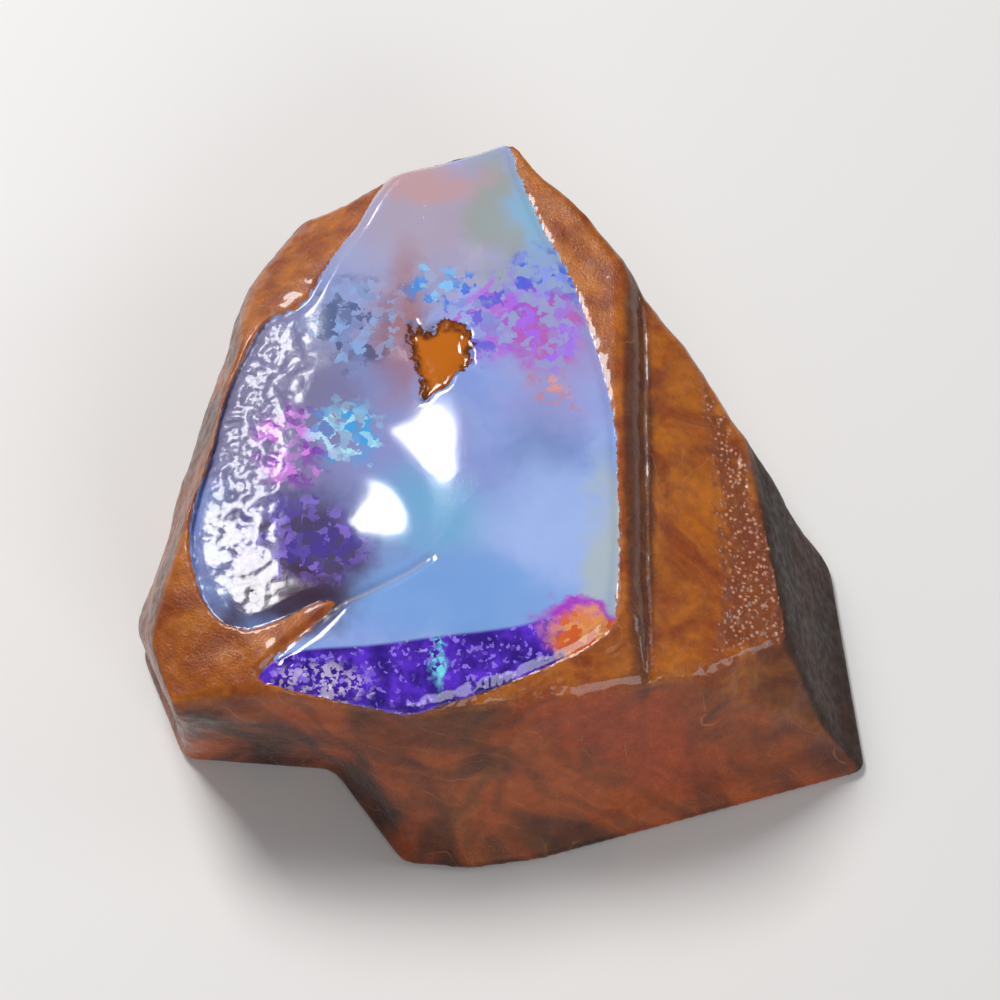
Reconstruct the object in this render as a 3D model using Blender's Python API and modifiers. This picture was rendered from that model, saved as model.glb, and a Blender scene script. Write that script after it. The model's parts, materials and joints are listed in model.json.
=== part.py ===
"""Rough boulder opal: one trimmed block of ironstone with an opal seam across its upper face.

The block lies on its sawn base, opal up. +X is to the right and +Y goes to the back. The origin is
under the middle of the block, on the plane that it rests on. Sizes are written in millimetres and
become metres where the mesh is made.
"""
import bmesh
import bpy
from mathutils import Vector

MM = 0.001
RIGHT = Vector((1.0, 0.0, 0.0))
BACK = Vector((0.0, 1.0, 0.0))
UP = Vector((0.0, 0.0, 1.0))
SAW_TOLERANCE = 1e-6

# Driving sizes
BLOCK_WIDTH = 46.0
BLOCK_DEPTH = 46.0
BLOCK_HEIGHT = 13.2

# Each wall is one flat break or saw cut, written as three points on it: two along its upper edge,
# counter-clockwise seen from above, and one lower down.
WALLS = {
    "front left": ((-18.3, -15.0, 11.2), (-5.3, -16.0, 11.6), (-10.0, -19.4, 0.0)),
    "front": ((-5.3, -16.0, 11.6), (8.1, -13.9, 12.0), (-3.5, -20.4, 0.0)),
    "front right": ((8.1, -13.9, 12.0), (20.4, -14.2, 0.0), (2.0, -19.6, 0.0)),
    "front right chamfer": ((9.6, -13.8, 11.4), (15.7, -9.4, 8.8), (20.0, -14.0, 1.6)),
    "right end": ((15.7, -9.4, 8.8), (13.7, 2.6, 10.0), (20.5, -14.0, 0.0)),
    "back right": ((13.7, 2.6, 10.0), (10.1, 7.6, 11.3), (18.8, -1.2, 0.0)),
    "back right upper": ((8.1, 11.1, 12.0), (1.5, 19.0, 13.0), (5.3, 15.2, 0.0)),
    "back": ((0.9, 19.9, 13.0), (-12.3, 15.7, 11.5), (-5.7, 18.3, 0.0)),
    "back left corner": ((-11.5, 15.9, 11.0), (-14.6, 11.0, 10.0), (-13.4, 13.8, 0.0)),
    "left": ((-14.7, 12.0, 6.5), (-20.7, -8.0, 6.5), (-17.6, 2.1, 0.0)),
    "left front corner": ((-20.7, -8.0, 8.0), (-18.4, -14.6, 11.5), (-18.4, -11.8, 0.0)),
}

# Slopes take the upper edge off the block. They are written the same way, upper points first.
SLOPES = {
    "left rim": ((-15.2, 4.5, 13.2), (-17.3, -5.0, 13.2), (-19.7, -5.0, 6.5)),
    "front left corner": ((-16.9, -7.5, 13.1), (-11.0, -15.0, 13.1), (-19.6, -13.6, 10.8)),
    "front edge of the seam": ((-12.5, -13.4, 13.2), (2.7, -10.9, 13.2), (-5.3, -16.0, 11.6)),
    "back left shoulder": ((-7.3, 16.0, 13.1), (-13.6, 7.7, 13.1), (-13.3, 14.0, 10.8)),
}

# The opal seam ends at a small step down to a ledge that falls away to the right.
STEP_TOP_X = 6.9
STEP_FOOT_X = 8.1
LEDGE_TOP_Z = 12.0
LEDGE_FALL_PER_MM = 0.42

# A chip is missing below the front left ridge, as two flat faces that meet in a corner.
CHIP_BACK = ((-18.3, -15.5, 9.5), (-5.3, -16.6, 9.5), (-12.0, -13.8, 0.0))
CHIP_END = ((-7.5, -16.6, 9.5), (-9.3, -14.3, 0.0), (-5.4, -19.9, 0.0))

# Every edge is worn round.
EDGE_WEAR = 0.6
EDGE_SEGMENTS = 2
WORN_EDGE_ANGLE = 0.3

IRONSTONE_BROWN = (0.20, 0.075, 0.022, 1.0)


def clear_scene():
    """Removes every object that the file opened with."""
    for old in list(bpy.data.objects):
        bpy.data.objects.remove(old, do_unlink=True)


def new_collection(name):
    """A collection of its own in the scene."""
    collection = bpy.data.collections.new(name)
    bpy.context.scene.collection.children.link(collection)
    return collection


def plane_through(first, second, third):
    """A point on the plane and its normal, which follows the right hand along the three points."""
    origin, along, down = Vector(first), Vector(second), Vector(third)
    normal = (down - origin).cross(along - origin).normalized()
    return origin, normal


def saw(mesh, point, normal):
    """Cuts off everything on the normal's side of the plane and closes the cut."""
    geometry = mesh.verts[:] + mesh.edges[:] + mesh.faces[:]
    bmesh.ops.bisect_plane(
        mesh, geom=geometry, dist=SAW_TOLERANCE, plane_co=point, plane_no=normal, clear_outer=True
    )
    rim = [edge for edge in mesh.edges if edge.is_boundary]
    bmesh.ops.holes_fill(mesh, edges=rim, sides=0)


def box(width, depth, height):
    """A block standing on z = 0, centred on the origin."""
    mesh = bmesh.new()
    bmesh.ops.create_cube(mesh, size=1.0)
    bmesh.ops.translate(mesh, verts=mesh.verts, vec=UP / 2.0)
    bmesh.ops.scale(mesh, verts=mesh.verts, vec=(width, depth, height))
    return mesh


def add_object(mesh, name, collection):
    """Turns a bmesh in millimetres into an object in metres."""
    bmesh.ops.scale(mesh, verts=mesh.verts, vec=(MM, MM, MM))
    bmesh.ops.recalc_face_normals(mesh, faces=mesh.faces)
    data = bpy.data.meshes.new(name)
    mesh.to_mesh(data)
    mesh.free()
    obj = bpy.data.objects.new(name, data)
    collection.objects.link(obj)
    return obj


def trimmed_block():
    """The block with its walls and slopes cut, before the ledge and the chip."""
    mesh = box(BLOCK_WIDTH, BLOCK_DEPTH, BLOCK_HEIGHT)
    for points in list(WALLS.values()) + list(SLOPES.values()):
        point, normal = plane_through(*points)
        saw(mesh, point, normal)
    return mesh


def facing(normal, way):
    """The normal, turned round if it points against the way."""
    return normal if normal.dot(way) > 0.0 else -normal


def ledge_cutter():
    """What is missing to the right of the seam: above the ledge and beyond the step."""
    mesh = box(BLOCK_WIDTH * 2.0, BLOCK_DEPTH * 2.0, BLOCK_HEIGHT * 2.0)
    step_top = Vector((STEP_TOP_X, 0.0, BLOCK_HEIGHT))
    step_foot = Vector((STEP_FOOT_X, 0.0, LEDGE_TOP_Z))
    ledge_way = Vector((1.0, 0.0, -LEDGE_FALL_PER_MM))
    step_normal = BACK.cross(step_top - step_foot).normalized()
    ledge_normal = BACK.cross(ledge_way).normalized()
    saw(mesh, step_foot, facing(step_normal, -RIGHT))
    saw(mesh, step_foot, facing(ledge_normal, -UP))
    return mesh


def chip_cutter():
    """What is missing below the front left ridge: in front of one face and left of the other."""
    mesh = box(BLOCK_WIDTH * 2.0, BLOCK_DEPTH * 2.0, BLOCK_HEIGHT * 2.0)
    bmesh.ops.translate(mesh, verts=mesh.verts, vec=-UP * BLOCK_HEIGHT)
    back_point, back_normal = plane_through(*CHIP_BACK)
    end_point, end_normal = plane_through(*CHIP_END)
    saw(mesh, back_point, facing(back_normal, BACK))
    saw(mesh, end_point, facing(end_normal, RIGHT))
    return mesh


def as_cutter(obj):
    """Marks an object as a tool that is not part of the stone."""
    obj.hide_render = True
    obj.display_type = "WIRE"
    return obj


def apply_modifiers(obj):
    """Bakes the object's modifiers into its mesh."""
    graph = bpy.context.evaluated_depsgraph_get()
    finished = bpy.data.meshes.new_from_object(obj.evaluated_get(graph))
    obj.modifiers.clear()
    obj.data = finished


def subtract(stone, cutter):
    """Cuts the cutter's shape out of the stone."""
    cut = stone.modifiers.new(cutter.name, "BOOLEAN")
    cut.operation = "DIFFERENCE"
    cut.solver = "EXACT"
    cut.object = cutter


def wear_edges(stone):
    """Rounds every edge a little, as handling and washing do."""
    bevel = stone.modifiers.new("Worn edges", "BEVEL")
    bevel.width = EDGE_WEAR * MM
    bevel.segments = EDGE_SEGMENTS
    bevel.limit_method = "ANGLE"
    bevel.angle_limit = WORN_EDGE_ANGLE


def ironstone():
    """Brown ironstone, which most of the surface shows."""
    material = bpy.data.materials.new("ironstone")
    material.use_nodes = True
    shader = material.node_tree.nodes["Principled BSDF"]
    shader.inputs["Base Color"].default_value = IRONSTONE_BROWN
    shader.inputs["Roughness"].default_value = 0.45
    shader.inputs["Metallic"].default_value = 0.0
    return material


def build():
    """Makes the stone."""
    clear_scene()
    parts = new_collection("boulder_opal_rough")
    cutters = new_collection("cutters")
    stone = add_object(trimmed_block(), "boulder_opal", parts)
    ledge = as_cutter(add_object(ledge_cutter(), "ledge_cutter", cutters))
    chip = as_cutter(add_object(chip_cutter(), "chip_cutter", cutters))
    subtract(stone, ledge)
    subtract(stone, chip)
    wear_edges(stone)
    apply_modifiers(stone)
    stone.data.materials.clear()
    stone.data.materials.append(ironstone())


build()
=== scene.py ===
# %% [markdown]
# # A rough boulder opal
# The real object is one block of brown ironstone. A crack in it filled with silica long ago and
# became a seam of precious opal, which now covers most of its upper face. Nothing comes apart, so
# the whole stone is one mesh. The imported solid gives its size, its walls and its flat base.

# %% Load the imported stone
import json
import math

import bmesh
import bpy
import numpy as np
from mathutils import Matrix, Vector, noise

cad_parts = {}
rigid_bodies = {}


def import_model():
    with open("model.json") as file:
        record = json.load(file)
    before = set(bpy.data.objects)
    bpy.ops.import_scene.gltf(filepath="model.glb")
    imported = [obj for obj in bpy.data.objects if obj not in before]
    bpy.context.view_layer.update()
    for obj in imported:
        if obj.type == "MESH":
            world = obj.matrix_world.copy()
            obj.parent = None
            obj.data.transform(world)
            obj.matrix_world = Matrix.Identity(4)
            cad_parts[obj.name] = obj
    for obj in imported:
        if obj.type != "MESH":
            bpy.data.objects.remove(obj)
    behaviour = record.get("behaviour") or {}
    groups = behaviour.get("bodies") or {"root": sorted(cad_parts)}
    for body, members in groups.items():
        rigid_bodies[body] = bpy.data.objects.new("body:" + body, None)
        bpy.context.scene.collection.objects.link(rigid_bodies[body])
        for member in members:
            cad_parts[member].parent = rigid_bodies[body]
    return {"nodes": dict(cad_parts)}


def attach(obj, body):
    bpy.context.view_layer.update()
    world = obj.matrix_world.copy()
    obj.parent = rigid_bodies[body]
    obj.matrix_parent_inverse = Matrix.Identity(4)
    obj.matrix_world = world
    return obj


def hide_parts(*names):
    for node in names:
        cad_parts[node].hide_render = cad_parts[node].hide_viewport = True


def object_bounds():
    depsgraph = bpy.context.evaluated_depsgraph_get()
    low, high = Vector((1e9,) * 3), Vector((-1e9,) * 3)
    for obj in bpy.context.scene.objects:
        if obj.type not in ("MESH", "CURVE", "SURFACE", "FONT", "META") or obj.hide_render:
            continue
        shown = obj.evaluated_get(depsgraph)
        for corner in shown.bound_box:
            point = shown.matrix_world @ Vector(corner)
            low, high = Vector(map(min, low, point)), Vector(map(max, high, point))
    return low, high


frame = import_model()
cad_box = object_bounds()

MM = 0.001
print("stone before its finish, lowest and highest corner:", [list(corner) for corner in cad_box])

# %% [markdown]
# ## Camera
# The stone is seen from the front and from high up, 62 degrees above the table, so the opal face is
# nearly square on and the front face still shows. A short lens close by would make the near edge
# look too big, so a long lens stands far off and keeps the sides parallel.

# %% Camera
VIEW_HEIGHT = math.radians(62.0)
LENS = 150.0
SENSOR = 36.0
FRAME_WIDTH = 56.0 * MM
LOOK_AT = Vector((-0.1, -0.3, 6.6)) * MM
NEAREST_SEEN = 1.0 * MM


def add_camera():
    """A camera in front of the stone that looks down at it."""
    camera = bpy.data.objects.new("camera", bpy.data.cameras.new("camera"))
    camera.data.lens = LENS
    camera.data.sensor_width = SENSOR
    camera.data.clip_start = NEAREST_SEEN
    away = Vector((0.0, -math.cos(VIEW_HEIGHT), math.sin(VIEW_HEIGHT)))
    camera.location = LOOK_AT + away * (FRAME_WIDTH * LENS / SENSOR)
    camera.rotation_euler = (-away).to_track_quat("-Z", "Y").to_euler()
    bpy.context.scene.collection.objects.link(camera)
    bpy.context.scene.camera = camera
    return camera


camera = add_camera()
print("camera distance in mm:", round((camera.location - LOOK_AT).length / MM))

# %% [markdown]
# ## Table and light
# The stone lies on a pale table under soft lamps. It looks wet, so what matters is where each lamp
# mirrors. The key lamp could stand in front, but it would then glare on the whole opal face. It
# stands behind on the left, where only surfaces that lean about 12 degrees to the left throw it at
# the camera. The other two lamps are weak and only lift the front and right walls.

# %% Table and light
TABLE_WIDTH = 3.0
TABLE_GAP = 0.02 * MM
TABLE_COLOUR = (0.80, 0.78, 0.76, 1.0)
TABLE_ROUGHNESS = 0.55
SKY_COLOUR = (0.93, 0.95, 1.0, 1.0)
SKY_STRENGTH = 0.20
LAMPS = {
    "key": {"way": (-0.36, 0.48, 0.80), "far": 0.42, "size": 0.15, "watts": 1.45},
    "front": {"way": (0.35, -0.85, 0.55), "far": 0.45, "size": 0.20, "watts": 0.50},
    "right": {"way": (0.95, 0.05, 0.42), "far": 0.45, "size": 0.14, "watts": 0.25},
}


def add_table():
    """One large flat face just under the stone."""
    shape = bmesh.new()
    bmesh.ops.create_grid(shape, x_segments=1, y_segments=1, size=TABLE_WIDTH / 2.0)
    bmesh.ops.translate(shape, verts=shape.verts, vec=(0.0, 0.0, -TABLE_GAP))
    data = bpy.data.meshes.new("table")
    shape.to_mesh(data)
    shape.free()
    table = bpy.data.objects.new("table", data)
    bpy.context.scene.collection.objects.link(table)
    paint = bpy.data.materials.new("table")
    paint.use_nodes = True
    shader = paint.node_tree.nodes["Principled BSDF"]
    shader.inputs["Base Color"].default_value = TABLE_COLOUR
    shader.inputs["Roughness"].default_value = TABLE_ROUGHNESS
    data.materials.append(paint)
    return table


def add_lamp(name, way, far, size, watts):
    """A square soft lamp that faces the stone."""
    lamp = bpy.data.objects.new(name, bpy.data.lights.new(name, "AREA"))
    lamp.data.shape = "SQUARE"
    lamp.data.size = size
    lamp.data.energy = watts
    toward = Vector(way).normalized()
    lamp.location = LOOK_AT + toward * far
    lamp.rotation_euler = (-toward).to_track_quat("-Z", "Y").to_euler()
    bpy.context.scene.collection.objects.link(lamp)


def add_sky():
    """An even pale surrounding."""
    sky = bpy.data.worlds.new("studio")
    sky.use_nodes = True
    background = sky.node_tree.nodes["Background"]
    background.inputs["Color"].default_value = SKY_COLOUR
    background.inputs["Strength"].default_value = SKY_STRENGTH
    bpy.context.scene.world = sky


add_table()
for lamp_name, lamp_facts in LAMPS.items():
    add_lamp(lamp_name, **lamp_facts)
add_sky()
bpy.context.scene.view_settings.view_transform = "Standard"
print("lamps:", len(LAMPS))

# %% [markdown]
# ## A fine skin on the block
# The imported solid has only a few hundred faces. Subdividing them would give long slivers. A voxel
# remesh lays an even net of small squares on the block instead, fine enough to carve. The sawn base
# needs no detail, so it is cut off and closed with one face.

# %% Fine skin
NET_SIZE = 0.185 * MM
JOIN_WITHIN = 0.002 * MM
BASE_TRIM = 0.12 * MM


def cad_copy(node, name):
    """A new object with the node's mesh, its loose triangles joined."""
    shape = bmesh.new()
    shape.from_mesh(frame["nodes"][node].data)
    bmesh.ops.remove_doubles(shape, verts=shape.verts, dist=JOIN_WITHIN)
    data = bpy.data.meshes.new(name)
    shape.to_mesh(data)
    shape.free()
    piece = bpy.data.objects.new(name, data)
    bpy.context.scene.collection.objects.link(piece)
    return piece


def lay_net(piece):
    """Replaces the piece's mesh with an even net."""
    net = piece.modifiers.new("Even net", "REMESH")
    net.mode = "VOXEL"
    net.voxel_size = NET_SIZE
    graph = bpy.context.evaluated_depsgraph_get()
    finished = bpy.data.meshes.new_from_object(piece.evaluated_get(graph))
    piece.modifiers.clear()
    piece.data = finished
    piece.data.name = piece.name


def flatten_base(piece):
    """Trims the underside and closes it with one flat face on the table plane."""
    shape = bmesh.new()
    shape.from_mesh(piece.data)
    bmesh.ops.bisect_plane(
        shape,
        geom=shape.verts[:] + shape.edges[:] + shape.faces[:],
        plane_co=(0.0, 0.0, BASE_TRIM),
        plane_no=(0.0, 0.0, 1.0),
        clear_inner=True,
    )
    rim = [edge for edge in shape.edges if edge.is_boundary]
    rim_verts = {vert for edge in rim for vert in edge.verts}
    bmesh.ops.holes_fill(shape, edges=rim, sides=0)
    for vert in rim_verts:
        vert.co.z = 0.0
    bmesh.ops.recalc_face_normals(shape, faces=shape.faces)
    open_edges = sum(1 for edge in shape.edges if not edge.is_manifold)
    shape.to_mesh(piece.data)
    shape.free()
    return open_edges


stone = cad_copy("boulder_opal", "opal_stone")
lay_net(stone)
open_edges = flatten_base(stone)
print("vertices in the skin:", len(stone.data.vertices), "and open edges:", open_edges)

# %% [markdown]
# ## Outlines on the upper face
# The seam has a sharp border with the ironstone, and so have its violet front facet, the brown
# inclusion and the sandy patch. They could be painted as pictures, but a drawn outline stays sharp
# at any size. Each one is a loop of points in millimetres, seen from above. The wedge of ironstone
# between the two lobes of the seam ends at (-9.0, -10.0). The crack is an open line.

# %% Outlines
SEAM = (
    (0.2, 19.5), (0.9, 17.6), (1.6, 15.6), (2.4, 13.5), (3.7, 10.9), (4.6, 8.2), (5.5, 4.9), (6.1, 1.8),
    (6.35, -2.0), (6.35, -6.8), (6.1, -9.8), (5.9, -11.2), (4.3, -12.4), (2.5, -13.2), (-0.2, -14.3),
    (-2.9, -15.2), (-5.0, -15.8), (-7.3, -15.5), (-9.6, -15.1), (-11.6, -14.7), (-12.9, -14.2),
    (-12.5, -13.4), (-11.2, -12.3), (-9.9, -11.1), (-9.0, -10.0), (-9.9, -9.9), (-11.9, -10.9),
    (-13.7, -11.4), (-15.3, -10.6), (-16.3, -8.9), (-16.9, -6.2), (-16.8, -3.5), (-16.1, -0.9),
    (-15.4, 2.6), (-14.3, 5.4), (-13.2, 7.6), (-11.2, 8.7), (-10.4, 10.0), (-9.4, 12.1), (-8.1, 14.2),
    (-7.2, 16.2), (-6.0, 17.6), (-3.6, 18.1), (-1.4, 18.9),
)
FRONT_FACET = (
    (-13.2, -14.2), (-11.3, -12.9), (-7.3, -12.5), (-3.3, -11.9), (0.7, -11.3), (2.9, -10.9),
    (3.4, -13.2), (3.0, -15.5), (-5.0, -18.0), (-13.5, -16.5),
)
INCLUSION = (
    (-5.2, 7.4), (-4.2, 6.9), (-3.2, 7.7), (-2.0, 7.4), (-1.6, 6.0), (-2.1, 4.4), (-3.4, 3.1),
    (-4.4, 2.5), (-4.5, 3.9), (-5.0, 5.5),
)
SANDY_PATCH = (
    (11.4, 5.0), (12.9, 2.2), (14.1, -1.6), (15.2, -5.4), (15.9, -9.4), (13.2, -10.8), (11.9, -11.4),
    (12.4, -8.0), (12.2, -4.0), (11.9, 0.5),
)
CRACK = ((-13.0, -13.8), (-11.2, -12.0), (-9.2, -10.3), (-7.2, -9.3), (-4.9, -8.0), (-3.9, -7.2))
print("points in the outlines:", len(SEAM) + len(FRONT_FACET) + len(INCLUSION) + len(SANDY_PATCH))

# %% [markdown]
# ## How far inside each outline
# Each loop is rounded with a Catmull-Rom curve, and each vertex stores its distance to the loop,
# positive inside. Carving and colour both read these distances, so a groove and the colour beside
# it always meet. A border is then a soft step at distance zero.

# %% Distances
CURVE_STEPS = 6
SPOTS_AT_ONCE = 8000
TINY = 1e-12
FLAT_RUN = 1e-9


def smooth_loop(points):
    """The closed outline as many short straight runs on a Catmull-Rom curve."""
    knots = np.array(points, float)
    before, after, beyond = np.roll(knots, 1, 0), np.roll(knots, -1, 0), np.roll(knots, -2, 0)
    runs = []
    for step in range(CURVE_STEPS):
        t = step / CURVE_STEPS
        straight = 2.0 * knots + (after - before) * t
        square = (2.0 * before - 5.0 * knots + 4.0 * after - beyond) * t ** 2
        cube = (3.0 * knots - before - 3.0 * after + beyond) * t ** 3
        runs.append(0.5 * (straight + square + cube))
    return np.stack(runs, 1).reshape(-1, 2)


def line_distance(spots, starts, ends):
    """How far each spot lies from the nearest of the straight runs, in millimetres."""
    nearest = np.empty(len(spots))
    ways = ends - starts
    squares = np.maximum((ways ** 2).sum(1), TINY)
    for first in range(0, len(spots), SPOTS_AT_ONCE):
        some = slice(first, first + SPOTS_AT_ONCE)
        offset = spots[some, None, :] - starts[None]
        share = np.clip((offset * ways[None]).sum(2) / squares, 0.0, 1.0)
        gap = offset - share[..., None] * ways[None]
        nearest[some] = np.sqrt((gap ** 2).sum(2).min(1))
    return nearest


def inside_distance(spots, points):
    """Distance to the outline, positive inside it and negative outside."""
    starts = smooth_loop(points)
    ends = np.roll(starts, -1, 0)
    inside = np.zeros(len(spots), bool)
    for (x0, y0), (x1, y1) in zip(starts, ends):
        rise = y1 - y0 if y1 != y0 else FLAT_RUN
        crosses = (y0 > spots[:, 1]) != (y1 > spots[:, 1])
        reach = (x1 - x0) * (spots[:, 1] - y0) / rise + x0
        inside ^= crosses & (spots[:, 0] < reach)
    return np.where(inside, 1.0, -1.0) * line_distance(spots, starts, ends)


def read_vectors(piece, what):
    """One vector for each vertex of the piece: its place (co) or its normal."""
    flat = np.empty(len(piece.data.vertices) * 3, np.float32)
    piece.data.vertices.foreach_get(what, flat)
    return flat.reshape(-1, 3).astype(float)


places = read_vectors(stone, "co") / MM
normals = read_vectors(stone, "normal")
plan = places[:, :2]
seam = inside_distance(plan, SEAM)
facet = inside_distance(plan, FRONT_FACET)
inclusion = inside_distance(plan, INCLUSION)
sandy = inside_distance(plan, SANDY_PATCH)
crack = line_distance(plan, np.array(CRACK[:-1]), np.array(CRACK[1:]))
print("share of the skin inside the seam's outline:", round(float((seam > 0).mean()), 3))

# %% [markdown]
# ## Broken and worn ironstone
# Broken ironstone has slow swells, smaller lumps and grit, and tumbling has worn the grit down. The
# roughness could be sculpted, but fractal noise of three sizes gives the same character everywhere.
# It cuts inwards along the normals and fades out at the base, so the stone keeps its flat foot.

# %% Worn ironstone
GRAIN_SEED = Vector((4.1, 7.3, 1.7))
GRAIN_FALL = 0.8
GRAIN_STEP = 2.0
UPPER_LEAN = (0.55, 0.85)
UPPER_FLOOR = 6.0
BASE_FADE = (0.2, 2.0)
SEAM_FADE = (-0.08, 0.10)
SMOOTH, ROUGH = 2, 3
SWELL_SIZE, SWELL_DEPTH = 7.0, 0.55
LUMP_SIZE, LUMP_DEPTH = 2.2, 0.17
GRIT_SIZE, GRIT_DEPTH = 0.75, 0.03


def grain(size, octaves):
    """Fractal noise between 0 and 1 at every vertex, with lumps of about size millimetres."""
    spots = [Vector(spot) + GRAIN_SEED for spot in places / size]
    values = [noise.fractal(spot, GRAIN_FALL, GRAIN_STEP, octaves) for spot in spots]
    return np.clip(np.array(values) * 0.5 + 0.5, 0.0, 1.0)


def ease(low, high, values):
    """Moves smoothly from 0 at low to 1 at high."""
    t = np.clip((values - low) / (high - low), 0.0, 1.0)
    return t * t * (3.0 - 2.0 * t)


upper = ease(*UPPER_LEAN, normals[:, 2]) * (places[:, 2] > UPPER_FLOOR)
opal = ease(*SEAM_FADE, seam) * upper
swells = grain(SWELL_SIZE, SMOOTH)
lumps = grain(LUMP_SIZE, ROUGH)
grit = grain(GRIT_SIZE, ROUGH)
wear = SWELL_DEPTH * (1.0 - swells) + LUMP_DEPTH * (1.0 - lumps) + GRIT_DEPTH * (1.0 - grit)
cut = ease(*BASE_FADE, places[:, 2]) * (1.0 - opal) * wear
print("deepest wear in mm:", round(float(cut.max()), 2))

# %% [markdown]
# ## The opal's own relief
# The opal is smoother than its host. It rolls over at its left edge and turns down in a narrow lip
# all round. Its left side has broken away in small flakes that scatter the light. Two shallow
# hollows in the middle are what catches the key lamp: their right flanks lean left, and each makes
# one clear highlight. All of it is a drop in height, worked out for every vertex.

# %% Relief of the opal
OPAL_SWELL_DEPTH = 0.30
ROLL_START_X, ROLL_DEPTH = -9.0, 0.014
LIP_WIDTH, LIP_DEPTH = 0.9, 0.30
HOLLOWS = (((-6.8, 0.6), 5.4, 0.50), ((-9.0, -5.0), 4.4, 0.46))
FLAKES_FROM_X = (-10.0, -12.5)
FLAKES_WAVER = 2.5
FLAKES_FROM_FRONT = (-11.8, -9.5)
FLAKES_TO_BACK = (8.0, 11.0)
FEWER_FLAKES_FROM, FEWER_FLAKES = (-2.0, -5.0), 0.6
FLAKE_LUMPS, FLAKE_GRIT, FLAKE_LIFT = 0.40, 0.50, 1.3


def hollow(centre, radius):
    """1 in the middle of a round hollow and 0 past its rim."""
    away = np.hypot(plan[:, 0] - centre[0], plan[:, 1] - centre[1])
    return 1.0 - ease(0.0, radius, away)


def flaked_area():
    """1 where the opal has flaked away: its left side, less so towards the front."""
    area = opal * ease(*FLAKES_FROM_X, plan[:, 0] + FLAKES_WAVER * (swells - 0.5))
    area = area * ease(*FLAKES_FROM_FRONT, plan[:, 1])
    area = area * (1.0 - ease(*FLAKES_TO_BACK, plan[:, 1]))
    return area * (1.0 - FEWER_FLAKES * ease(*FEWER_FLAKES_FROM, plan[:, 1]))


broken = flaked_area()
flakes = FLAKE_LUMPS * np.abs(lumps - 0.5) + FLAKE_GRIT * np.abs(grit - 0.5)
drop = opal * OPAL_SWELL_DEPTH * (1.0 - swells)
drop += opal * ROLL_DEPTH * np.maximum(0.0, ROLL_START_X - plan[:, 0]) ** 2
drop += opal * LIP_DEPTH * (1.0 - ease(0.0, LIP_WIDTH, seam)) ** 2
drop += broken * (flakes - FLAKE_LIFT * flakes.mean())
for centre, radius, depth in HOLLOWS:
    drop += opal * depth * hollow(centre, radius)
print("deepest drop in the opal in mm:", round(float(drop.max()), 2))

# %% [markdown]
# ## Small marks
# The brown inclusion is softer and sits in a ragged pit. A crack runs from the wedge of ironstone
# into the opal. The front facet is lightly pitted, the sandy patch on the ledge is grainy, and a
# narrow groove marks the foot of the step. Each is again a drop in height.

# %% Small marks
PIT_DEPTH, PIT_WALL = 0.50, (-0.05, 0.35)
PIT_RAGGED_SIZE, PIT_RAGGED_BY = 1.1, 0.9
CRACK_DEPTH, CRACK_WIDTH = 0.22, 0.16
FACET_DEPTH, FACET_FADE = 0.32, (0.0, 0.5)
SAND_DEPTH, SAND_SIZE, SAND_FADE = 0.34, 0.42, (-0.3, 0.4)
GROOVE_X, GROOVE_WIDTH, GROOVE_DEPTH = 7.95, 0.22, 0.30

ragged_inclusion = inclusion + PIT_RAGGED_BY * (grain(PIT_RAGGED_SIZE, ROUGH) - 0.5)
drop += upper * PIT_DEPTH * ease(*PIT_WALL, ragged_inclusion)
drop += upper * CRACK_DEPTH * np.exp(-(crack / CRACK_WIDTH) ** 2)
drop += upper * FACET_DEPTH * ease(*FACET_FADE, facet) * np.abs(grit - 0.5)
drop += upper * SAND_DEPTH * ease(*SAND_FADE, sandy) * grain(SAND_SIZE, SMOOTH)
drop += upper * GROOVE_DEPTH * np.exp(-((plan[:, 0] - GROOVE_X) / GROOVE_WIDTH) ** 2)
print("deepest drop with the marks in mm:", round(float(drop.max()), 2))

# %% [markdown]
# ## Move the skin
# The wear goes along the normals and the drop goes straight down. The result is held inside the
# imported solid's box, so the stone keeps its size. What the colours need is stored on the vertices.

# %% Move the skin
NOWHERE = -5.0
UPPER_EDGE = 0.2
UPWARD_LEAN = (0.15, 0.80)
END_LEAN, END_FROM_X = (0.45, 0.75), (13.0, 15.0)


def move_skin(piece):
    """Carves the piece and returns every vertex's new place."""
    low, high = (np.array(list(corner)) / MM for corner in cad_box)
    carved = places - normals * cut[:, None]
    carved[:, 2] -= drop
    carved = np.clip(carved, low, high)
    piece.data.vertices.foreach_set("co", (carved * MM).astype(np.float32).ravel())
    piece.data.update()
    piece.data.shade_smooth()
    return carved


def store(piece, name, values):
    """Keeps one number for each vertex, for the material to read."""
    kept = piece.data.attributes.new(name, "FLOAT", "POINT")
    kept.data.foreach_set("value", values.astype(np.float32))


carved = move_skin(stone)
store(stone, "seam", np.where(upper > UPPER_EDGE, seam, NOWHERE))
store(stone, "sandy", np.where(upper > UPPER_EDGE, sandy, NOWHERE))
store(stone, "facet", facet)
store(stone, "inclusion", inclusion)
store(stone, "crack", crack)
store(stone, "broken", broken)
store(stone, "upward", ease(*UPWARD_LEAN, normals[:, 2]))
store(stone, "end_face", ease(*END_LEAN, normals[:, 0]) * ease(*END_FROM_X, plan[:, 0]))
print("largest move of one vertex along an axis in mm:", round(float(np.abs(carved - places).max()), 2))

# %% [markdown]
# ## Shorthand for shader nodes
# A material is a graph of nodes, and linking them by hand hides what they say. These few helpers add
# a node, fill its sockets and hand back its output, so that each recipe below reads like a sentence.
# Places are in millimetres, and a scale says how many lumps or cells lie in one millimetre.

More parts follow.
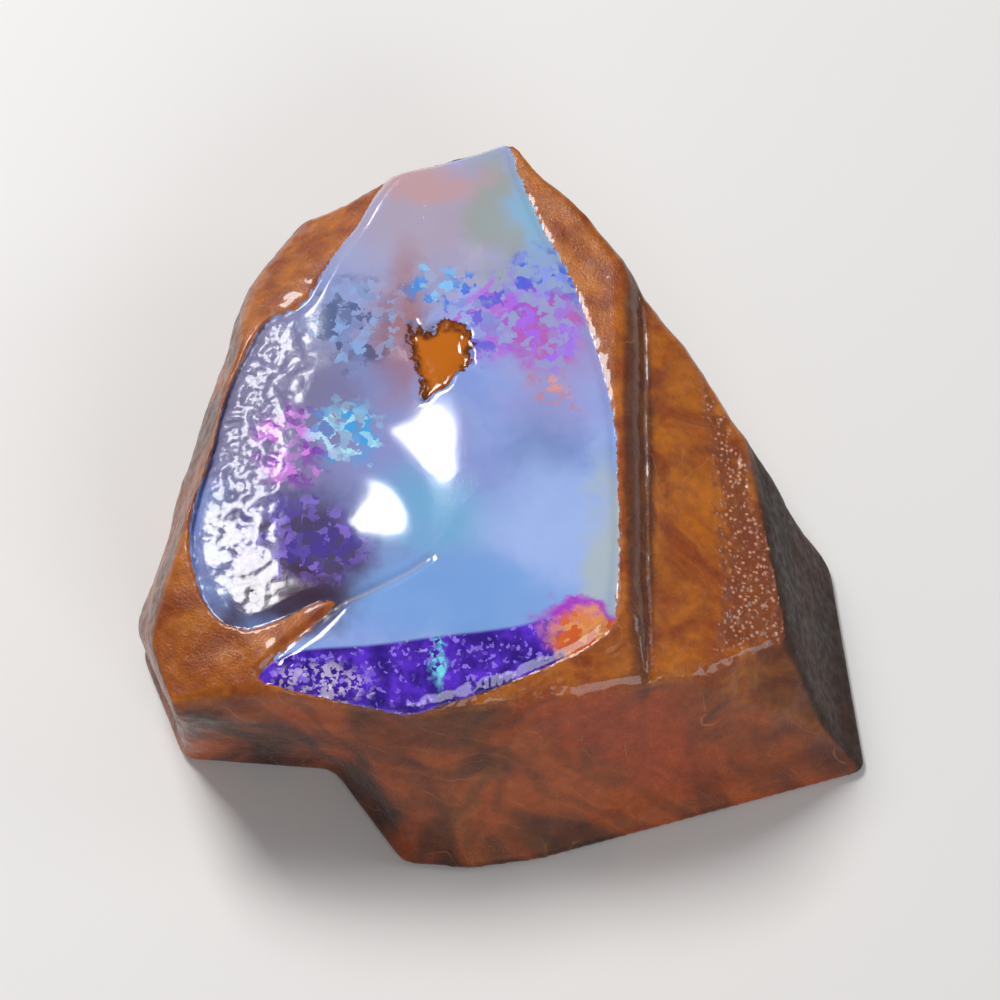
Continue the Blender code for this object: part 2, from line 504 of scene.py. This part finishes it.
# %% Shader shorthand
def linear(text):
    """A colour from its usual six-digit form, as the linear values that shaders use."""
    parts = [int(text[k:k + 2], 16) / 255.0 for k in (0, 2, 4)]
    return [p / 12.92 if p <= 0.04045 else ((p + 0.055) / 1.055) ** 2.4 for p in parts] + [1.0]


class Recipe:
    """The node tree of one material."""

    def __init__(self, name):
        """Starts the tree, with the place on the stone in millimetres."""
        self.material = bpy.data.materials.new(name)
        self.material.use_nodes = True
        self.tree = self.material.node_tree
        self.shader = self.tree.nodes["Principled BSDF"]
        spot = self.add("ShaderNodeTexCoord").outputs["Object"]
        self.place = self.vector("SCALE", spot, scale=1.0 / MM)

    def add(self, kind, **settings):
        """A new node with its settings."""
        node = self.tree.nodes.new(kind)
        for key, value in settings.items():
            setattr(node, key, value)
        return node

    def fill(self, socket, value):
        """Links an output to the socket, or gives it a plain value."""
        if isinstance(value, bpy.types.NodeSocket):
            self.tree.links.new(value, socket)
        elif value is not None:
            socket.default_value = value

    def fill_all(self, node, **entries):
        """Fills sockets by name, with _ for a space."""
        for key, value in entries.items():
            self.fill(node.inputs[key.replace("_", " ")], value)
        return node

    def maths(self, operation, first, second=None, clamp=False):
        """One sum on two numbers."""
        node = self.add("ShaderNodeMath", operation=operation, use_clamp=clamp)
        self.fill(node.inputs[0], first)
        self.fill(node.inputs[1], second)
        return node.outputs[0]

    def times(self, first, second):
        """The product of two numbers."""
        return self.maths("MULTIPLY", first, second)

    def vector(self, operation, first, second=None, scale=None):
        """One sum on two vectors. A length comes from the second output."""
        node = self.add("ShaderNodeVectorMath", operation=operation)
        self.fill(node.inputs[0], first)
        self.fill(node.inputs[1], second)
        self.fill(node.inputs[3], scale)
        return node.outputs[1 if operation == "LENGTH" else 0]

    def ramp(self, value, low, high, start=0.0, end=1.0):
        """Moves smoothly from start to end while the value goes from low to high."""
        node = self.add("ShaderNodeMapRange", interpolation_type="SMOOTHSTEP")
        self.fill_all(node, Value=value, From_Min=low, From_Max=high, To_Min=start, To_Max=end)
        return node.outputs["Result"]

    def mix(self, share, first, second, blend="MIX"):
        """Two colours mixed by the share of the second."""
        node = self.add("ShaderNodeMix", data_type="RGBA", blend_type=blend)
        self.fill(node.inputs[0], share)
        self.fill(node.inputs[6], first)
        self.fill(node.inputs[7], second)
        return node.outputs[2]

    def glaze(self, under, over, where, strength=1.0):
        """One colour laid over another where the mask says."""
        return self.mix(self.times(where, strength), under, over)

    def noise(self, place, scale, detail=3.0, rough=0.55, output="Fac"):
        """Soft noise, about 0.5 on average."""
        node = self.add("ShaderNodeTexNoise")
        self.fill_all(node, Vector=place, Scale=scale, Detail=detail, Roughness=rough)
        return node.outputs[output]

    def cells(self, place, scale):
        """A net of small cells, with their colours and distances."""
        return self.fill_all(self.add("ShaderNodeTexVoronoi"), Vector=place, Scale=scale)

    def cell_numbers(self, place, scale):
        """Three random numbers for each small cell, so that every cell can look different."""
        node = self.add("ShaderNodeSeparateColor")
        self.fill(node.inputs[0], self.cells(place, scale).outputs["Color"])
        return node.outputs

    def stored(self, name):
        """A number that the vertices keep."""
        return self.add("ShaderNodeAttribute", attribute_name=name).outputs["Fac"]

    def frayed(self, name, noise_facts, reach, levels=(0.2, 0.8)):
        """A distance that the vertices keep, with noise added, so that its border is frayed."""
        fray = self.ramp(self.noise(self.place, **noise_facts), *levels, -reach, reach)
        return self.maths("ADD", self.stored(name), fray)

    def wobble(self, scale, reach, detail=3.0):
        """The place, pushed about by noise, so that edges drawn on it are ragged."""
        swing = self.noise(self.place, scale, detail, output="Color")
        push = self.vector("SUBTRACT", swing, (0.5, 0.5, 0.5))
        return self.vector("ADD", self.place, self.vector("SCALE", push, scale=reach))

    def patch(self, place, centre, radii, soft):
        """1 in an upright oval column, fading to 0 across its edge."""
        offset = self.vector("SUBTRACT", place, (centre[0], centre[1], 0.0))
        scaled = self.vector("MULTIPLY", offset, (1.0 / radii[0], 1.0 / radii[1], 0.0))
        return self.ramp(self.vector("LENGTH", scaled), 1.0 - soft, 1.0 + soft, 1.0, 0.0)


recipe = Recipe("boulder_opal")
print("nodes to start with:", len(recipe.tree.nodes))

# %% [markdown]
# ## Ironstone
# Iron-rich water soaked the sandstone in waves and left soft folds of colour, like cream in coffee,
# with thin pale veins along them. Straight bands would look like wood. Here a noise and a wave
# pattern are read at a place that slow noise has bent, so both fold together. The walls are dark
# rust. Painted light makes everything that faces up a lighter honey brown, painted shade darkens
# the strip down the step, and painted shade makes the right end nearly black.

# %% Ironstone
IRON_DARK = linear("381203")
IRON_RUST = linear("a84806")
IRON_BROWN = linear("8c3c08")
IRON_AMBER = linear("bd6a0c")
IRON_RED = linear("b8420e")
IRON_VEIN = linear("c88a5c")
# Painted shade: this nearly black brown darkens the right end.
END_SHADE_BLACK = linear("120a07")
FOLDS = {"scale": 0.09, "reach": 15.0, "detail": 2.0}
BANDS = {"Scale": 0.13, "Distortion": 4.0, "Detail": 3.0, "Detail_Scale": 1.2}
BAND_LEVELS, BAND_STRENGTH = (0.5, 0.0), 0.35
BROAD_NOISE, BROAD_LEVELS = {"scale": 0.16, "detail": 2.0}, (0.36, 0.64)
# The last number here is the strength of painted light: what faces up is glazed a lighter honey brown.
HONEY_NOISE, HONEY_LEVELS, LIT_TOPS_STRENGTH = {"scale": 0.45}, (0.30, 0.72), 0.92
# Painted shade: a dark strip down the step, beside the groove at its foot.
STEP_SHADE_STRIP = {"centre": (7.5, -1.0), "radii": (0.85, 14.0), "soft": 0.25}
STEP_SHADE_WAVER, STEP_SHADE_STRENGTH = {"scale": 0.6, "reach": 0.5}, 0.75
RED_STREAK = {"centre": (6.5, -15.2), "radii": (5.0, 1.1), "soft": 0.5}
RED_WAVER, RED_STRENGTH = {"scale": 0.5, "reach": 2.0}, 0.55
VEIN_LEVEL, VEIN_WIDTH, VEIN_STRENGTH = 0.62, 0.035, 0.5
VEIN_GAPS, VEIN_GAP_LEVELS = {"scale": 0.5}, (0.42, 0.62)
# Strength of the painted shade on the right end.
END_SHADE_STRENGTH = 0.9
MOTTLE_NOISE = {"scale": 1.9, "detail": 6.0, "rough": 0.6}
MOTTLE_LEVELS, MOTTLE_LIGHTNESS = (0.25, 0.75), (0.80, 1.16)


def iron_bands(r, bent):
    """A wave pattern that follows the folds."""
    bands = r.add("ShaderNodeTexWave", wave_type="BANDS", bands_direction="DIAGONAL")
    r.fill_all(bands, Vector=bent, **BANDS)
    return bands.outputs["Fac"]


def iron_walls(r, bent, bands):
    """Dark rust in broad soft folds, with faint darker bands."""
    broad = r.ramp(r.noise(bent, **BROAD_NOISE), *BROAD_LEVELS)
    tone = r.mix(broad, IRON_DARK, IRON_RUST)
    return r.glaze(tone, IRON_DARK, r.ramp(bands, *BAND_LEVELS), BAND_STRENGTH)


def iron_lit_tops_and_shaded_step(r, bent, tone):
    """Painted light: a lighter honey brown on what faces up. Painted shade: a dark strip down the step.
    """
    honey = r.mix(r.ramp(r.noise(bent, **HONEY_NOISE), *HONEY_LEVELS), IRON_BROWN, IRON_AMBER)
    # Painted light: what faces up is glazed a lighter honey brown than the walls.
    tone = r.glaze(tone, honey, r.stored("upward"), LIT_TOPS_STRENGTH)
    # Painted shade: a dark strip down the step.
    return r.glaze(tone, IRON_DARK, r.patch(r.wobble(**STEP_SHADE_WAVER), **STEP_SHADE_STRIP), STEP_SHADE_STRENGTH)


def iron_marks(r, bands, tone):
    """The red streak, the broken pale veins, painted shade on the right end and a fine mottle."""
    tone = r.glaze(tone, IRON_RED, r.patch(r.wobble(**RED_WAVER), **RED_STREAK), RED_STRENGTH)
    off_level = r.maths("ABSOLUTE", r.maths("SUBTRACT", bands, VEIN_LEVEL))
    vein = r.ramp(off_level, 0.0, VEIN_WIDTH, 1.0, 0.0)
    here_and_there = r.ramp(r.noise(r.place, **VEIN_GAPS), *VEIN_GAP_LEVELS)
    tone = r.glaze(tone, IRON_VEIN, r.times(vein, here_and_there), VEIN_STRENGTH)
    # Painted shade: the right end is darkened nearly to black.
    tone = r.glaze(tone, END_SHADE_BLACK, r.stored("end_face"), END_SHADE_STRENGTH)
    mottle = r.ramp(r.noise(r.place, **MOTTLE_NOISE), *MOTTLE_LEVELS, *MOTTLE_LIGHTNESS)
    return r.mix(1.0, tone, mottle, "MULTIPLY")


def ironstone_colour(r):
    """The ironstone, without its sandy patch."""
    bent = r.wobble(**FOLDS)
    bands = iron_bands(r, bent)
    tone = iron_walls(r, bent, bands)
    tone = iron_lit_tops_and_shaded_step(r, bent, tone)
    return iron_marks(r, bands, tone)


iron_tone = ironstone_colour(recipe)
print("nodes after the ironstone:", len(recipe.tree.nodes))

# %% [markdown]
# ## The sandy patch
# Near the right end of the ledge lies a grainy patch of pale pink grains. Modelled grains would be
# too many, so each cell of a fine net is a grain: pale pink with a painted glint in its middle, and
# dark towards its rim. Noise frays the patch's outline.

# %% Sandy patch
# The grain middles: pale pink, brightened as a painted glint of light.
SAND_PALE_GLINT = linear("e2a98a")
SAND_DARK = linear("7a3a1c")
SAND_GRAINS = 3.2
GRAIN_RIM = (0.12, 0.45)
SAND_FRAY_NOISE, SAND_FRAY = {"scale": 1.6, "detail": 5.0}, 1.1
SAND_EDGE, SAND_STRENGTH = (-0.3, 0.5), 0.8


def add_sand(r, tone):
    """The ironstone's colour with the sandy patch on it, each grain with a painted glint."""
    grains = r.cells(r.place, SAND_GRAINS).outputs["Distance"]
    # Painted glints: each grain is pale in its middle and dark towards its rim.
    grain_tone_and_glints = r.mix(r.ramp(grains, *GRAIN_RIM), SAND_PALE_GLINT, SAND_DARK)
    inside = r.frayed("sandy", SAND_FRAY_NOISE, SAND_FRAY, levels=(0.0, 1.0))
    return r.glaze(tone, grain_tone_and_glints, r.ramp(inside, *SAND_EDGE), SAND_STRENGTH)


iron_tone = add_sand(recipe, iron_tone)
print("nodes after the sand:", len(recipe.tree.nodes))

# %% [markdown]
# ## The opal's body
# Tiny silica spheres scatter blue light and let warm light through, so the body is milky blue where
# it is thick and dusky where ironstone shows through. A painted picture would do it, but soft ovals
# can be placed and tuned one by one. Each is a centre, two radii, a softness, a colour and a
# strength, read at a place that slow noise has pushed about, so no oval looks like one.

# %% Body of the opal
OPAL_PALE = linear("9cb4ec")
OPAL_BLUE = linear("88a2e2")
BODY_NOISE, BODY_LEVELS = {"scale": 0.3}, (0.3, 0.7)
CLOUD_WANDER = {"scale": 0.22, "reach": 6.0, "detail": 4.0}
CLOUDS = (
    ((-4.0, 14.5), (6.0, 5.5), 0.6, "b3a3b4", 0.9),
    ((2.6, 12.0), (2.3, 7.5), 0.5, "86b8d4", 0.9),
    ((-0.4, 14.6), (0.9, 5.2), 0.7, "9aa69a", 0.7),
    ((-4.8, 17.2), (3.6, 1.3), 0.6, "cf9a92", 0.6),
    ((-5.6, 6.6), (1.5, 4.4), 0.6, "a8665c", 0.8),
    ((-12.0, 2.0), (5.0, 8.0), 0.5, "7d7596", 0.9),
    ((-5.5, -2.0), (5.0, 5.0), 0.8, "8f8fc6", 0.7),
    ((3.0, 6.0), (3.2, 5.0), 0.6, "a497cf", 0.8),
    ((2.4, -0.6), (2.2, 2.6), 0.6, "6d84b8", 0.6),
    ((-3.4, -4.8), (2.8, 2.6), 0.7, "6fb2d8", 0.8),
    ((2.6, -6.0), (4.0, 3.6), 0.7, "a9c0f2", 0.8),
    ((-2.6, -9.6), (6.2, 2.2), 0.5, "78a6e0", 0.8),
    ((5.6, -6.4), (1.1, 5.0), 0.6, "b4c0bf", 0.8),
    ((-11.6, -7.0), (5.2, 4.0), 0.4, "4a3c63", 0.95),
    ((-12.0, -10.0), (3.6, 1.8), 0.6, "3f2430", 0.8),
)


def opal_body(r):
    """Pale blue with soft clouds of other colours."""
    soft_place = r.wobble(**CLOUD_WANDER)
    tone = r.mix(r.ramp(r.noise(soft_place, **BODY_NOISE), *BODY_LEVELS), OPAL_PALE, OPAL_BLUE)
    for centre, radii, soft, colour, strength in CLOUDS:
        tone = r.glaze(tone, linear(colour), r.patch(soft_place, centre, radii, soft), strength)
    return tone


opal_tone = opal_body(recipe)
print("nodes after the opal's body:", len(recipe.tree.nodes))

# %% [markdown]
# ## Fire in the opal
# Where the spheres are stacked in order, the stone shows flecks of pure colour. On the real stone
# they change as it turns. A shader that changed with the view would not outlive an export, so they
# are laid on as cells about 0.6 mm wide, each with its own mix of two hues, inside a few areas.

# %% Fire
FIRE = (
    ((-2.9, 9.5), (2.4, 1.5), "2f8fe8", "7fd0ff", 0.9),
    ((2.2, 9.9), (2.4, 2.4), "3a5ce0", "8f9cf4", 0.85),
    ((-0.4, 7.6), (3.0, 2.6), "6a4fd8", "c05ad8", 0.8),
    ((2.4, 6.8), (2.2, 2.6), "c060b8", "a86cf0", 0.85),
    ((2.8, 2.9), (1.3, 0.9), "d8705c", "e8a090", 0.8),
    ((-8.0, 7.4), (3.0, 2.6), "2c4470", "8fb6e8", 0.7),
    ((-11.4, -0.2), (2.2, 2.4), "8a2fb0", "e58af0", 0.9),
    ((-8.6, 0.6), (2.0, 1.9), "3fa8e8", "b4f0ff", 0.9),
    ((-11.0, -6.0), (3.6, 2.6), "4a34b0", "9c7cf0", 0.6),
)
FLECK_SCALE = 1.7
FLECK_WANDER = {"scale": 1.6, "reach": 1.3, "detail": 5.0}
FIRE_FRAY = {"scale": 0.9, "reach": 3.2, "detail": 5.0}
FIRE_SOFT = 0.35
SHOWN_CELLS = (0.15, 0.7)
FIRE_GAPS, FIRE_GAP_LEVELS = {"scale": 1.3, "detail": 5.0}, (0.25, 0.5)
SECOND_HUE_LEVELS = (0.35, 0.75)


def opal_fire(r, tone, frayed_place, flecks):
    """Small cells of pure colour inside each area of fire."""
    by_cell = r.ramp(flecks[0], *SHOWN_CELLS)
    by_noise = r.ramp(r.noise(r.place, **FIRE_GAPS), *FIRE_GAP_LEVELS)
    shown = r.times(by_cell, by_noise)
    second_share = r.ramp(flecks[1], *SECOND_HUE_LEVELS)
    for centre, radii, first_hue, second_hue, strength in FIRE:
        hue = r.mix(second_share, linear(first_hue), linear(second_hue))
        area = r.times(r.patch(frayed_place, centre, radii, FIRE_SOFT), shown)
        tone = r.glaze(tone, hue, area, strength)
    return tone


frayed_place = recipe.wobble(**FIRE_FRAY)
flecks = recipe.cell_numbers(recipe.wobble(**FLECK_WANDER), FLECK_SCALE)
opal_tone = opal_fire(recipe, opal_tone, frayed_place, flecks)
print("nodes after the fire:", len(recipe.tree.nodes))

# %% [markdown]
# ## The violet front facet
# Along its front edge the seam was cut back, and the light meets the silica at another angle: it
# glows deep violet, with one cyan streak, white glints at the left end and an orange corner at the
# right end. The facet has its own outline, so its colours stop sharply at the crease.

# %% Front facet
VIOLET_DEEP = linear("32108c")
VIOLET_BRIGHT = linear("6a34e6")
VIOLET_GLINT = linear("9a7cf6")
PALE_GLINT = linear("d9c8ea")
CYAN = linear("7ff0ff")
CORAL = linear("e0662c")
CORAL_PALE = linear("f0a060")
MAGENTA = linear("b040c8")
GLINT_SCALE = 4.5
GLINT_WANDER = {"scale": 2.5, "reach": 0.6, "detail": 4.0}
CYAN_STREAK = {"centre": (-3.4, -13.0), "radii": (0.34, 1.3), "soft": 0.6}
GLINTING_END = {"centre": (-9.6, -14.4), "radii": (2.4, 1.0), "soft": 0.4}
MAGENTA_EDGE = {"centre": (4.2, -10.6), "radii": (2.2, 0.9), "soft": 0.4}
CORAL_CORNER = {"centre": (4.8, -11.9), "radii": (2.2, 1.5), "soft": 0.3}
CREASE_FADE = 0.12
VIOLET_NOISE, VIOLET_LEVELS = {"scale": 0.9, "detail": 5.0}, (0.35, 0.7)
GLINT_LEVELS = (0.82, 0.95)
STREAK_WAVER, STREAK_LEVELS = {"scale": 1.4, "reach": 1.4, "detail": 5.0}, (0.1, 0.6)
PALE_WAVER, PALE_LEVELS, PALE_STRENGTH = {"scale": 1.0, "reach": 1.5}, (0.45, 0.7), 0.85
CORAL_LEVELS = (0.3, 0.7)


def facet_violet(r):
    """Deep violet with bright clouds, glints and the cyan streak."""
    glints = r.cell_numbers(r.wobble(**GLINT_WANDER), GLINT_SCALE)
    clouds = r.ramp(r.noise(r.place, **VIOLET_NOISE), *VIOLET_LEVELS)
    tone = r.mix(clouds, VIOLET_DEEP, VIOLET_BRIGHT)
    tone = r.mix(r.ramp(glints[0], *GLINT_LEVELS), tone, VIOLET_GLINT)
    streak = r.patch(r.wobble(**STREAK_WAVER), **CYAN_STREAK)
    tone = r.glaze(tone, CYAN, streak, r.ramp(glints[1], *STREAK_LEVELS))
    left_end = r.patch(r.wobble(**PALE_WAVER), **GLINTING_END)
    pale = r.times(left_end, r.ramp(glints[2], *PALE_LEVELS))
    return r.glaze(tone, PALE_GLINT, pale, PALE_STRENGTH)


def add_facet(r, tone, frayed_place, flecks):
    """The opal with its front facet, magenta edge and coral corner."""
    tone = r.mix(r.ramp(r.stored("facet"), -CREASE_FADE, CREASE_FADE), tone, facet_violet(r))
    tone = r.mix(r.patch(frayed_place, **MAGENTA_EDGE), tone, MAGENTA)
    coral = r.mix(r.ramp(flecks[1], *CORAL_LEVELS), CORAL, CORAL_PALE)
    return r.mix(r.patch(frayed_place, **CORAL_CORNER), tone, coral)


opal_tone = add_facet(recipe, opal_tone, frayed_place, flecks)
print("nodes after the front facet:", len(recipe.tree.nodes))

# %% [markdown]
# ## The brown inclusion
# Near the top a plug of ironstone comes up through the opal like a small window. It shares its
# outline with its pit. Noise makes that outline ragged, and the rim, on the pit's wall, is painted
# darker than the middle as shade.

# %% Inclusion
INCLUSION_MIDDLE = linear("c46a06")
# The rim colour is painted shade on the pit's wall.
INCLUSION_RIM_SHADE = linear("5a2404")
INCLUSION_FRAY_NOISE, INCLUSION_FRAY = {"scale": 1.7, "detail": 4.0}, 0.35
RIM_WIDTH, RIM_FADE = 0.6, 0.08


def add_inclusion(r, tone):
    """The opal with the brown plug in it."""
    inside = r.frayed("inclusion", INCLUSION_FRAY_NOISE, INCLUSION_FRAY)
    # Painted shade: the plug is dark at its rim, where the pit's wall is, and orange in the middle.
    plug = r.mix(r.ramp(inside, 0.0, RIM_WIDTH), INCLUSION_RIM_SHADE, INCLUSION_MIDDLE)
    return r.mix(r.ramp(inside, -RIM_FADE, RIM_FADE), tone, plug)


opal_tone = add_inclusion(recipe, opal_tone)
print("nodes after the inclusion:", len(recipe.tree.nodes))

# %% [markdown]
# ## One colour for the whole stone
# The seam's outline decides where the opal takes over from the ironstone. A clean edge would look
# like an inlay, so fine noise frays it. The crack shows as a faint pale line in the opal.

# %% Colour
SEAM_FRAY_NOISE, SEAM_FRAY = {"scale": 2.2, "detail": 4.0}, 0.14
SEAM_EDGE = 0.05
CRACK_PALE = linear("cbb8b4")
CRACK_EDGE, CRACK_SHOW = (0.03, 0.14), 0.45


def opal_mask(r):
    """1 on the opal and 0 on the ironstone."""
    return r.ramp(r.frayed("seam", SEAM_FRAY_NOISE, SEAM_FRAY), -SEAM_EDGE, SEAM_EDGE)


def whole_colour(r, is_opal):
    """Ironstone, opal and the crack together."""
    colour = r.mix(is_opal, iron_tone, opal_tone)
    crack_line = r.ramp(r.stored("crack"), *CRACK_EDGE, CRACK_SHOW, 0.0)
    return r.glaze(colour, CRACK_PALE, crack_line, is_opal)


is_opal = opal_mask(recipe)
recipe.fill(recipe.shader.inputs["Base Color"], whole_colour(recipe, is_opal))
print("nodes after the colour:", len(recipe.tree.nodes))

# %% [markdown]
# ## Gloss
# Both stones look wet. The opal is glassy and lets a little light in, and the ironstone is duller in
# patches. A clear coat lies thickly on what faces up, thinly on the walls and not at all on the
# right end, which would otherwise mirror the pale table. Fine bumps break the shine on the
# ironstone and on the flaked opal.

# %% Gloss
OPAL_ROUGHNESS = 0.07
IRON_ROUGHNESS = (0.18, 0.44)
IRON_PATCHES, IRON_PATCH_LEVELS = {"scale": 1.8, "detail": 5.0}, (0.3, 0.7)
END_ROUGHER = 0.3
OPAL_GLOW = 0.22
OPAL_GLOW_REACH = (0.9, 1.0, 1.3)
COAT_WALLS, COAT_TOP = 0.12, 0.55
COAT_ROUGHNESS = 0.06
SILICA_IOR = 1.46
BUMP_NOISE = {"scale": 7.0, "detail": 4.0, "rough": 0.6}
BUMP_IRON, BUMP_OPAL, BUMP_FLAKED = 0.05, 0.006, 0.05


def set_roughness(r, is_opal):
    """Glassy opal, patchy ironstone and a rougher right end."""
    iron = r.ramp(r.noise(r.place, **IRON_PATCHES), *IRON_PATCH_LEVELS, *IRON_ROUGHNESS)
    iron = r.maths("ADD", iron, r.times(r.stored("end_face"), END_ROUGHER), clamp=True)
    roughness = r.add("ShaderNodeMix", data_type="FLOAT")
    r.fill(roughness.inputs[0], is_opal)
    r.fill(roughness.inputs[2], iron)
    r.fill(roughness.inputs[3], OPAL_ROUGHNESS)
    r.fill(r.shader.inputs["Roughness"], roughness.outputs[0])


def set_glow(r, is_opal):
    """Lets a little light into the opal."""
    r.fill(r.shader.inputs["Subsurface Weight"], r.times(is_opal, OPAL_GLOW))
    r.shader.inputs["Subsurface Radius"].default_value = OPAL_GLOW_REACH
    r.shader.inputs["Subsurface Scale"].default_value = MM


def set_coat(r):
    """The wet film."""
    film = r.ramp(r.stored("upward"), 0.0, 1.0, COAT_WALLS, COAT_TOP)
    off_the_end = r.ramp(r.stored("end_face"), 0.0, 1.0, 1.0, 0.0)
    r.fill(r.shader.inputs["Coat Weight"], r.times(film, off_the_end))
    r.shader.inputs["Coat Roughness"].default_value = COAT_ROUGHNESS
    r.shader.inputs["IOR"].default_value = SILICA_IOR


def set_bumps(r, is_opal):
    """Grit that is too fine for the mesh."""
    by_stone = r.ramp(is_opal, 0.0, 1.0, BUMP_IRON, BUMP_OPAL)
    by_flakes = r.times(r.stored("broken"), BUMP_FLAKED)
    height = r.times(r.noise(r.place, **BUMP_NOISE), r.maths("ADD", by_stone, by_flakes))
    bump = r.fill_all(r.add("ShaderNodeBump"), Height=height, Strength=1.0, Distance=MM)
    r.fill(r.shader.inputs["Normal"], bump.outputs["Normal"])


set_roughness(recipe, is_opal)
set_glow(recipe, is_opal)
set_coat(recipe)
set_bumps(recipe, is_opal)
stone.data.materials.clear()
stone.data.materials.append(recipe.material)
print("nodes in the whole material:", len(recipe.tree.nodes))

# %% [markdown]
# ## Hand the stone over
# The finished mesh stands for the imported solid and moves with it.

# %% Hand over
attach(stone, "root")
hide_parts("boulder_opal")
